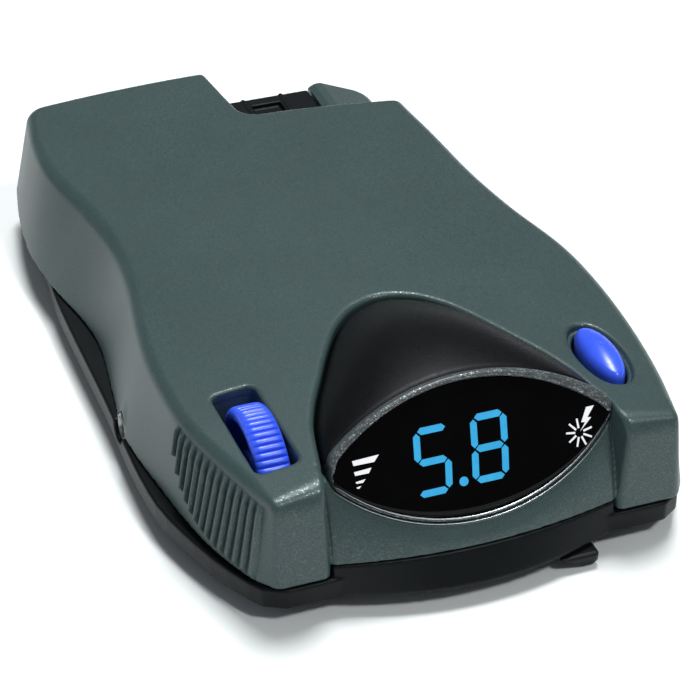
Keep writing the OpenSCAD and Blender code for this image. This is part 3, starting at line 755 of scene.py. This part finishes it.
def lower_housing(x, y, z):
    """The lower shell: a tray with the front lip, screw bosses and the slot of the slide."""
    flat = outline_distance(tray_outline(1.0), x[:, :, 0], y[:, :, 0])[:, :, None] - 1.0
    below_seam = z - SEAM_Z + SEAM_GAP
    slab = both(both(flat, -z, 0.5), below_seam, 0.4)
    slab = np.minimum(slab, front_lip(x, y, z))
    room = np.maximum(walls_distance(x, y, SEAM_Z), flat) + WALL
    room = overlap(room, WALL - z, 1.6 - y)
    slab = np.maximum(slab, -room)
    for screw_x, screw_y in SCREWS:
        away = np.hypot(x - screw_x, y - screw_y)
        slab = np.minimum(slab, overlap(away - 3.6, z - 4, 0.2 - z))
        slab = cut(cut(slab, np.maximum(away - 3.0, z - 1.2), 0.3), away - 1.6)
    for side in (-1, 1):
        rib = overlap(np.abs(y - INSERT_Y) - 4.6, 36 - side * x, flat, 0.5 - z, below_seam)
        boss = overlap(insert_boss(x, y, z, side), 0.8 - z, below_seam)
        slab = np.minimum(slab, np.minimum(rib, boss))
        slab = cut(slab, insert_bore(x, y, z, side), 0.3)
    slot_x = KNOB[0] - SLIDE_TRAVEL / 2
    slot = box_distance(x, y, (slot_x, KNOB[1]), (SLIDE_TRAVEL + 6, 3.6), 1.2)
    slab = cut(slab, np.maximum(slot, z - LIP_Z + 0.5), 0.3)
    label_pocket = box_distance(x, y, (-2, 68), (44, 32), 1.5)
    slab = cut(slab, np.maximum(label_pocket, z - 0.25), 0.1)
    knob_clearance = np.maximum(y - 8, z - 0.4)
    slab = cut(slab, knob_clearance, 0.1)
    wheel_room = box_distance(x, y, WHEEL[:2], (WHEEL_W + 1.2, 18), 0.5)
    slab = np.maximum(slab, -np.maximum(wheel_room, WALL - z))
    return np.maximum(slab, -np.maximum(socket_room(x, y, 0.4), SHROUD[4] - 0.3 - z))


# ---- hood and display ----

def hood(x, y, z):
    """Smooth black hood from the brow down to the rim of the roof opening."""
    away = np.abs(x)
    brow_up = eye_high(np.clip(x, -24.2, 24.2)) + 0.2
    brow_y = FACE_Y + brow_up * math.cos(LEAN) + 0.2
    brow_z = FACE_Z + brow_up * math.sin(LEAN) - 0.2
    rim_y = np.maximum(smooth_curve(ARCH, away) - 0.3, brow_y + 1.0)
    rim_z = np.minimum(EDGE_Z + CROWN * (1 - (away / 39) ** 2) - 0.9, brow_z - 0.1)
    t = (y - brow_y) / (rim_y - brow_y)
    held = np.clip(t, -0.2, 1.2)
    swell = (rim_y - brow_y) * 0.10
    top = mix(brow_z, rim_z, held) + swell * np.clip(4 * held * (1 - held), -1, 1)
    slope = (brow_z - rim_z) / (rim_y - brow_y)
    skin = (z - top) / np.sqrt(1 + slope ** 2)
    up, out = face_coords(y, z)
    low, high = eye_arcs(x, up)
    solid = both(skin, arch_distance(x, y, z) + 0.35, 1.6)
    solid = both(solid, out + 0.2, 0.8)
    lens_room = np.maximum(high, low) + 0.7
    return overlap(solid, away - 25.4, -lens_room, -skin - 2.4, 14 - z)


def display_frame(x, y, z):
    """Frame round the lens: a thick rounded brow above and a thin rim below."""
    up, out = face_coords(y, z)
    low, high = eye_arcs(x, up)
    thick = 1.15 + 0.0012 * (x + 5) ** 2
    opening = both(np.maximum(low + 0.55, high + thick), np.abs(x - EYE_X) - EYE_END + 0.8, 1.4)
    ring = np.maximum(frame_outline(x, up), -opening)
    height = np.clip((up - eye_low(np.clip(x, -24, 24)) - 1) * 0.35, 0, 1) * 0.95 + 0.45
    solid = both(ring, out - height, 0.7)
    return np.maximum(solid, -out - BEZEL_DEPTH)


def lower_rim_bead():
    """Bright bead along the lower edge of the lens, and a second, finer one under it."""
    rows, sides = 97, 8
    left = math.asin(-23.6 / EYE_LOW_R)
    right = math.asin(24.4 / EYE_LOW_R)
    verts, faces = [], []
    for r, inset, out in ((0.12, 0.55, 0.42), (0.07, -0.30, 0.36)):
        start = len(verts)
        for i in range(rows):
            a = mix(left, right, i / (rows - 1))
            big = EYE_LOW_R - inset
            x = big * math.sin(a)
            up = EYE_FOOT + EYE_LOW_R - big * math.cos(a)
            thick = r * math.sqrt(max(1 - (i / (rows - 1) * 2 - 1) ** 4, 0.02))
            for k in range(sides):
                turn = 2 * math.pi * k / sides
                side = thick * math.cos(turn)
                verts.append(face_point(x + side * math.sin(a), up - side * math.cos(a),
                                        out + thick * math.sin(turn)))
        faces += tube_faces(start, rows, sides)
    mesh_piece("lens_rim_beads", verts, faces, BEAD, "case", "frame")


def lens():
    """Eye-shaped lens, bulging up and down, with a soft turned-down edge."""
    columns, rows = 121, 33
    half = EYE_END - 0.5
    thick = 1.8
    verts = []
    for i in range(columns):
        x = half * math.sin(math.pi / 2 * mix(-1, 1, i / (columns - 1))) + EYE_X
        low = EYE_FOOT + EYE_LOW_R - math.sqrt((EYE_LOW_R - 0.6) ** 2 - x ** 2)
        high = EYE_H - EYE_HIGH_R + math.sqrt((EYE_HIGH_R - 1.1) ** 2 - (x - BROW_X) ** 2)
        front, back = [], []
        for j in reversed(range(rows)):
            up = mix(low, high, j / (rows - 1))
            out = float(lens_height(up)) - 0.35 * max(1 - (up - low) / 0.45, 0) ** 2
            front.append(face_point(x, up, out))
            back.append(face_point(x, up, out - thick))
        verts += front + back[::-1]
    faces = tube_faces(0, columns, 2 * rows)
    piece = mesh_piece("display_window", verts, faces, LENS, "case", "lens", "display_lens")
    piece.data.set_sharp_from_angle(angle=math.radians(50))


def flat_marks(name, outlines, material, slot, node):
    """Thin printed or lit shapes, given as outlines on the face, laid on the lens."""
    lift, thickness = 0.04, 0.12
    verts, faces = [], []
    for outline in outlines:
        start = len(verts)
        for height in (lift - thickness, lift):
            for x, up in outline:
                verts.append(face_point(x, up, float(lens_height(up)) + height))
        faces += tube_faces(start, 2, len(outline))
    mesh_piece(name, verts, faces, material, "case", slot, node, smooth=False)


def bar(a, b, width):
    """One bar of a digit from a to b, with slanted tips."""
    ax, ay = a
    bx, by = b
    length = math.hypot(bx - ax, by - ay)
    dx, dy = (bx - ax) / length, (by - ay) / length
    w = width / 2
    tips = [(0, 0), (w, w), (length - w, w), (length, 0), (length - w, -w), (w, -w)]
    points = []
    for along, side in tips:
        points.append((ax + dx * along - dy * side, ay + dy * along + dx * side))
    return points[::-1]


def digit(centre, lit):
    """Bars of a slanted seven-bar digit. lit names them: t for top, ul for upper left and so on."""
    w, h = 2.62, 5.05      # half the width and height between the bars' middles
    slant, gap, thick = 0.12, 0.2, 1.15
    ends = {"t": ((-w, h), (w, h)), "m": ((-w, 0), (w, 0)), "b": ((-w, -h), (w, -h)),
            "ul": ((-w, 0), (-w, h)), "ur": ((w, 0), (w, h)),
            "ll": ((-w, -h), (-w, 0)), "lr": ((w, -h), (w, 0))}
    bars = []
    for name in lit:
        a, b = np.array(ends[name])
        share = gap / np.linalg.norm(b - a)
        tips = [(centre[0] + x + slant * y, centre[1] + y)
                for x, y in (mix(a, b, share), mix(b, a, share))]
        bars.append(bar(*tips, thick))
    return bars


def disc(centre, r):
    """Outline of a round dot."""
    n = 24
    return [(centre[0] + r * math.cos(2 * math.pi * k / n),
             centre[1] + r * math.sin(2 * math.pi * k / n)) for k in range(n)]


def display_marks():
    """The lit reading and the two symbols beside it."""
    digits = digit((-6.6, 11.6), ("t", "ul", "m", "lr", "b"))
    digits += digit((3.35, 11.9), ("t", "ul", "ur", "m", "ll", "lr", "b"))
    digits.append(disc((-1.95, 7.2), 0.78))
    flat_marks("lit_digits", digits, LIT_BLUE, "lit_digit", "digit_segments")
    # Level wedge on the left: four bars that narrow towards the bottom.
    marks = []
    for top, low, wide_top, wide_low in ((14.5, 13.5, 4.5, 3.5), (12.7, 11.9, 2.9, 2.3),
                                         (11.1, 10.6, 1.6, 1.1), (10.2, 9.8, 0.7, 0.35)):
        marks.append([(-19.9, low + 0.05), (-19.9 + wide_low, low), (-19.9 + wide_top, top),
                      (-20.0, top - 0.15)])
    # Burst of rays on the right, with a bolt in place of one.
    hub = (19.1, 10.9)
    for k in range(9):
        turn = math.radians(12 + 40 * k)
        if 40 < math.degrees(turn) < 70:
            continue
        ray = [(0.75, -0.17), (2.35, -0.15), (2.35, 0.15), (0.75, 0.17)]
        marks.append([(hub[0] + u * math.cos(turn) - v * math.sin(turn),
                       hub[1] + u * math.sin(turn) + v * math.cos(turn)) for u, v in ray])
    marks.append([(19.3, 11.1), (21.6, 13.0), (20.9, 13.1), (22.4, 14.8), (21.0, 14.8),
                  (19.7, 12.5), (20.4, 12.4)])
    flat_marks("lit_symbols", marks, LIT_WHITE, "lit_icon", "status_icons")


# ---- controls ----

def power_wheel():
    """Wheel with rounded ribs between plain shoulders, hollowed on its left side."""
    per_rib = 8
    around = WHEEL_RIBS * per_rib
    w = WHEEL_W / 2
    rim = WHEEL_R - RIB_HEIGHT
    # Cross-section from the bore round the right side, over the rim and into the hollow:
    # distance along the axis, radius, and how far the ribs show there.
    section = [(w - 1.6, 2.5, 0), (w - 1.4, 2.7, 0), (w - 0.9, 3.4, 0), (w - 0.9, 7.4, 0),
               (w - 0.55, 7.8, 0), (w - 0.1, 8.4, 0), (w, 8.8, 0), (w, 9.7, 0),
               (w - 0.12, rim - 0.4, 0.1), (w - 0.4, rim - 0.15, 0.5), (w - 0.8, rim - 0.05, 0.9),
               (w - 1.3, rim - 0.02, 1), (0, rim, 1), (1.3 - w, rim - 0.02, 1),
               (0.8 - w, rim - 0.05, 0.9), (0.4 - w, rim - 0.15, 0.5), (0.12 - w, rim - 0.4, 0.1),
               (-w, 9.8, 0), (-w, 9.3, 0), (0.1 - w, 9.0, 0),
               (0.35 - w, 8.8, 0), (2.4 - w, 8.6, 0), (2.9 - w, 8.3, 0), (3.1 - w, 7.9, 0),
               (3.1 - w, 4.0, 0), (2.9 - w, 3.7, 0), (1.2 - w, 3.6, 0), (1.0 - w, 3.4, 0),
               (1.0 - w, 2.7, 0), (1.2 - w, 2.5, 0)]
    verts = []
    for i in range(around):
        turn = 2 * math.pi * i / around
        u = (i % per_rib) / per_rib * 2 - 1
        bump = RIB_HEIGHT * math.sqrt(max(1 - u * u, 0))
        for along, r, show in section:
            reach = r + bump * show
            verts.append((WHEEL[0] + along, WHEEL[1] + reach * math.cos(turn),
                          WHEEL[2] + reach * math.sin(turn)))
    faces = ring_quads(0, around, len(section), closed=True)
    piece = mesh_piece("ribbed_wheel", verts, faces, BLUE, "wheel", "blue_control", "power_wheel")
    piece.data.set_sharp_from_angle(angle=math.radians(48))


def boost_button(x, y, z):
    """Oval push button with a pillow-shaped top."""
    flat = oval_distance(x, y, BUTTON, BUTTON_L, BUTTON_W)
    across = (x - BUTTON[0]) / (BUTTON_W / 2)
    along = (y - BUTTON[1]) / (BUTTON_L / 2)
    dome = 24.5 - 1.5 * across ** 2 - 1.7 * along ** 2
    cap = both(flat + 0.05, (z - dome) * 0.86, 1.0)
    cap_bottom = 20
    hollow = np.maximum(flat + 1.3, z - 21.2)
    cap = overlap(cap, cap_bottom - z, -hollow)
    away = np.hypot(x - BUTTON[0], y - BUTTON[1])
    stem = overlap(away - 1.6, 12.6 - z, z - 22)
    return either(cap, stem, 0.4)


def manual_knob(x, y, z):
    """Finger fin that hangs below the front lip and narrows to a rounded foot."""
    dx, dy = x - KNOB[0], y - KNOB[1]
    drop = np.clip(-z / 3, 0, 1)
    middle = mix(-1.3, 1.3, drop)
    half = mix(3.5, 1.0, drop ** 1.3)
    fin = both((np.abs(dx - middle) - half) * 0.78, z, 0.3)
    fin = both(fin, -3.0 - z, 0.9)
    thick = mix(2.5, 1.9, drop)
    fin = both(fin, np.abs(dy + 3.7) - thick, 0.8)
    neck = block_distance(dx, dy, z, (-2.4, -1.4, -0.9), (2.4, 1.4, 2.6), 0.4)
    return either(fin, neck, 0.3)


# ---- fastenings and socket ----

def thread_insert(name, tip_x, out, node):
    """Metal insert with a chamfered mouth, a threaded bore and holding grooves outside."""
    length = 7.0
    pitch, thread = 0.7, 0.32
    section = [(0, INSERT_R - 0.25), (0, BORE_R + 0.45), (-0.45, BORE_R + 0.02)]
    for i in range(8):
        spot = -0.6 - pitch * i
        section += [(spot, BORE_R), (spot - pitch * 0.4, BORE_R + thread),
                    (spot - pitch * 0.6, BORE_R + thread)]
    section += [(-length, BORE_R + 0.1), (-length, INSERT_R - 0.2), (0.2 - length, INSERT_R)]
    for i in range(4):
        spot = -5.6 + 1.3 * i
        section += [(spot, INSERT_R), (spot + 0.1, INSERT_R - 0.18), (spot + 0.45, INSERT_R - 0.18),
                    (spot + 0.55, INSERT_R)]
    section += [(-0.25, INSERT_R)]
    around = 64
    verts = []
    for i in range(around):
        turn = 2 * math.pi * i / around
        for along, r in section:
            verts.append((tip_x + out * along, INSERT_Y + r * math.cos(turn) * out,
                          SEAM_Z + r * math.sin(turn)))
    faces = ring_quads(0, around, len(section), closed=True)
    piece = mesh_piece(name, verts, faces, INSERT, "case", "insert_metal", node)
    piece.data.set_sharp_from_angle(angle=math.radians(40))


def socket(x, y, z):
    """Plug socket with guide ribs, a latch recess and a rounded mouth."""
    x0, x1, y0, y1, z0, z1 = SHROUD
    middle = (x0 + x1) / 2
    body = block_distance(x, y, z, (x0, y0, z0), (x1, y1, z1), 0.6)
    room = block_distance(x, y, z, (x0 + 1.6, y0 + 10, z0 + 1.6), (x1 - 1.6, y1 + 9, z1 - 1.6), 0.5)
    body = cut(body, room, 0.4)
    window = block_distance(x, y, z, (middle - 3, y1 - 9, z1 - 1), (middle + 3, y1 - 3, z1 + 2), 0.4)
    body = cut(body, window, 0.2)
    for rib_x in (middle - 4.05, middle + 4.05):
        rib = block_distance(x, y, z, (rib_x - 0.35, y1 - 22, z1 - 0.4),
                             (rib_x + 0.35, y1, z1 + 0.15), 0.1)
        body = np.minimum(body, rib)
    for i in range(4):
        pin_x = middle + 4 * (i - 1.5)
        hole = block_distance(x, y, z, (pin_x - 0.5, y0 - 1, z0 + 4.9),
                              (pin_x + 0.5, y0 + 19, z0 + 6.1), 0.1)
        body = np.maximum(body, -hole)
    return body


# ---- building ----

def dress_inner_parts():
    """Carries the CAD's inner parts over with materials of their own."""
    finishes = {"wheel_shaft": STEEL, "wheel_potentiometer": CHIP, "button_plunger": PALE,
                "boost_dome": RUBBER, "boost_switch": CHIP, "slide_carriage": PALE,
                "slide_track": CHIP, "main_board": BOARD, "microcontroller": CHIP,
                "motion_sensor": STEEL, "power_transistors": CHIP, "heat_spreader": ALUMINIUM,
                "capacitors": SLEEVE, "inductor": CORE, "chip_parts": PALE,
                "connector_pins": CONTACT, "housing_screws": DARK_STEEL, "board_screws": STEEL,
                "rating_label": LABEL, "display_module": CHIP, "display_board": BOARD,
                "display_header": CONTACT}
    for node, material in finishes.items():
        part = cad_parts[node]
        if not part.material_slots:
            part.data.materials.append(material)
        for spot in part.material_slots:
            spot.material = material


def build_case():
    """Everything that stays still."""
    field_piece("upper_shell", upper_housing, (-50, -5, 3.6), (48, 138, 26), 0.4,
                SHELL, "case", "flecked_shell", "top_housing")
    field_piece("lower_shell", lower_housing, (-50, -8, -1), (48, 136, 7.4), 0.42,
                BLACK, "case", "black_shell", "bottom_housing")
    field_piece("hood_cover", hood, (-26, -2, 13), (26, 48, 34), 0.3,
                HOOD, "case", "hood", "hood_panel")
    field_piece("display_surround", display_frame, (-27, -4, 7), (27, 16, 34), 0.22,
                BROW, "case", "frame", "display_bezel")
    field_piece("plug_socket", socket, (-3, 98.5, 1.5), (20, 136.5, 15.4), 0.25,
                BLACK, "case", "black_shell", "connector_shroud")
    lower_rim_bead()
    grip_ribs()
    lens()
    display_marks()
    thread_insert("thread_insert_left", -46.2, -1, "insert_left")
    thread_insert("thread_insert_right", 44.6, 1, "insert_right")


def build_controls():
    """The three pieces that a driver moves."""
    power_wheel()
    field_piece("boost_cap", boost_button, (24, 9, 11.5), (37, 31, 26), 0.2,
                BLUE, "boost", "blue_control", "boost_button")
    field_piece("slide_knob", manual_knob, (13, -7, -4), (25, 7, 4), 0.16,
                KNOB_BLACK, "manual", "knob_black", "manual_knob")


# ---- studio ----

def add_floor(height_mm):
    """Pale floor, just under the lowest point of the object."""
    mesh = bpy.data.meshes.new("studio_floor")
    size = 4.0
    mesh.from_pydata([(-size, -size, 0), (size, -size, 0), (size, size, 0), (-size, size, 0)],
                     [], [(0, 1, 2, 3)])
    floor = bpy.data.objects.new("studio_floor", mesh)
    bpy.context.scene.collection.objects.link(floor)
    floor.location.z = height_mm * MM
    material, _, shader, _ = new_material("floor_white")
    shader.inputs["Base Color"].default_value = (0.93, 0.93, 0.93, 1)
    shader.inputs["Roughness"].default_value = 0.9
    shader.inputs["Specular IOR Level"].default_value = 0.1
    mesh.materials.append(material)


def add_sun(name, towards, strength, spread_deg, colour):
    """Soft light that shines from the direction given by towards."""
    data = bpy.data.lights.new(name, "SUN")
    data.energy = strength
    data.angle = math.radians(spread_deg)
    data.color = colour
    light = bpy.data.objects.new(name, data)
    light.rotation_euler = Vector(towards).to_track_quat("Z", "Y").to_euler()
    bpy.context.scene.collection.objects.link(light)


def add_lights():
    """A pale room, a key light over the rear, a strip from the front and a cool left side."""
    world = bpy.data.worlds.new("studio")
    bpy.context.scene.world = world
    world.use_nodes = True
    room = world.node_tree.nodes["Background"]
    room.inputs["Color"].default_value = (0.95, 0.97, 1.0, 1)
    room.inputs["Strength"].default_value = 0.14
    add_sun("key", (0.15, 0.26, 0.95), 3.0, 20, (0.95, 1.0, 1.0))
    add_sun("front_strip", (0.26, -0.50, 0.82), 1.05, 9, (0.95, 1.0, 1.0))
    add_sun("cool_side", (-0.9, -0.1, 0.35), 0.15, 50, (0.6, 0.85, 1.0))


def add_camera():
    """Camera seen from the front left, well above the roof."""
    place = Vector((-127.65, -274.0, 259.02)) * MM
    aim = Vector((0.29059, 0.75932, -0.58222)).normalized()
    right = Vector((0.9327, -0.3599, 0.0216))
    right = (right - aim * right.dot(aim)).normalized()
    up = right.cross(aim)
    data = bpy.data.cameras.new("camera")
    data.lens = 123.43
    data.clip_start = 0.01
    data.clip_end = 20
    camera = bpy.data.objects.new("camera", data)
    turn = Matrix((right, up, -aim)).transposed().to_4x4()
    camera.matrix_world = Matrix.Translation(place) @ turn
    bpy.context.scene.collection.objects.link(camera)
    bpy.context.scene.camera = camera


add_camera()
add_lights()
dress_inner_parts()
build_case()
build_controls()
add_floor(-3.1)
bpy.context.scene.view_settings.view_transform = "Standard"
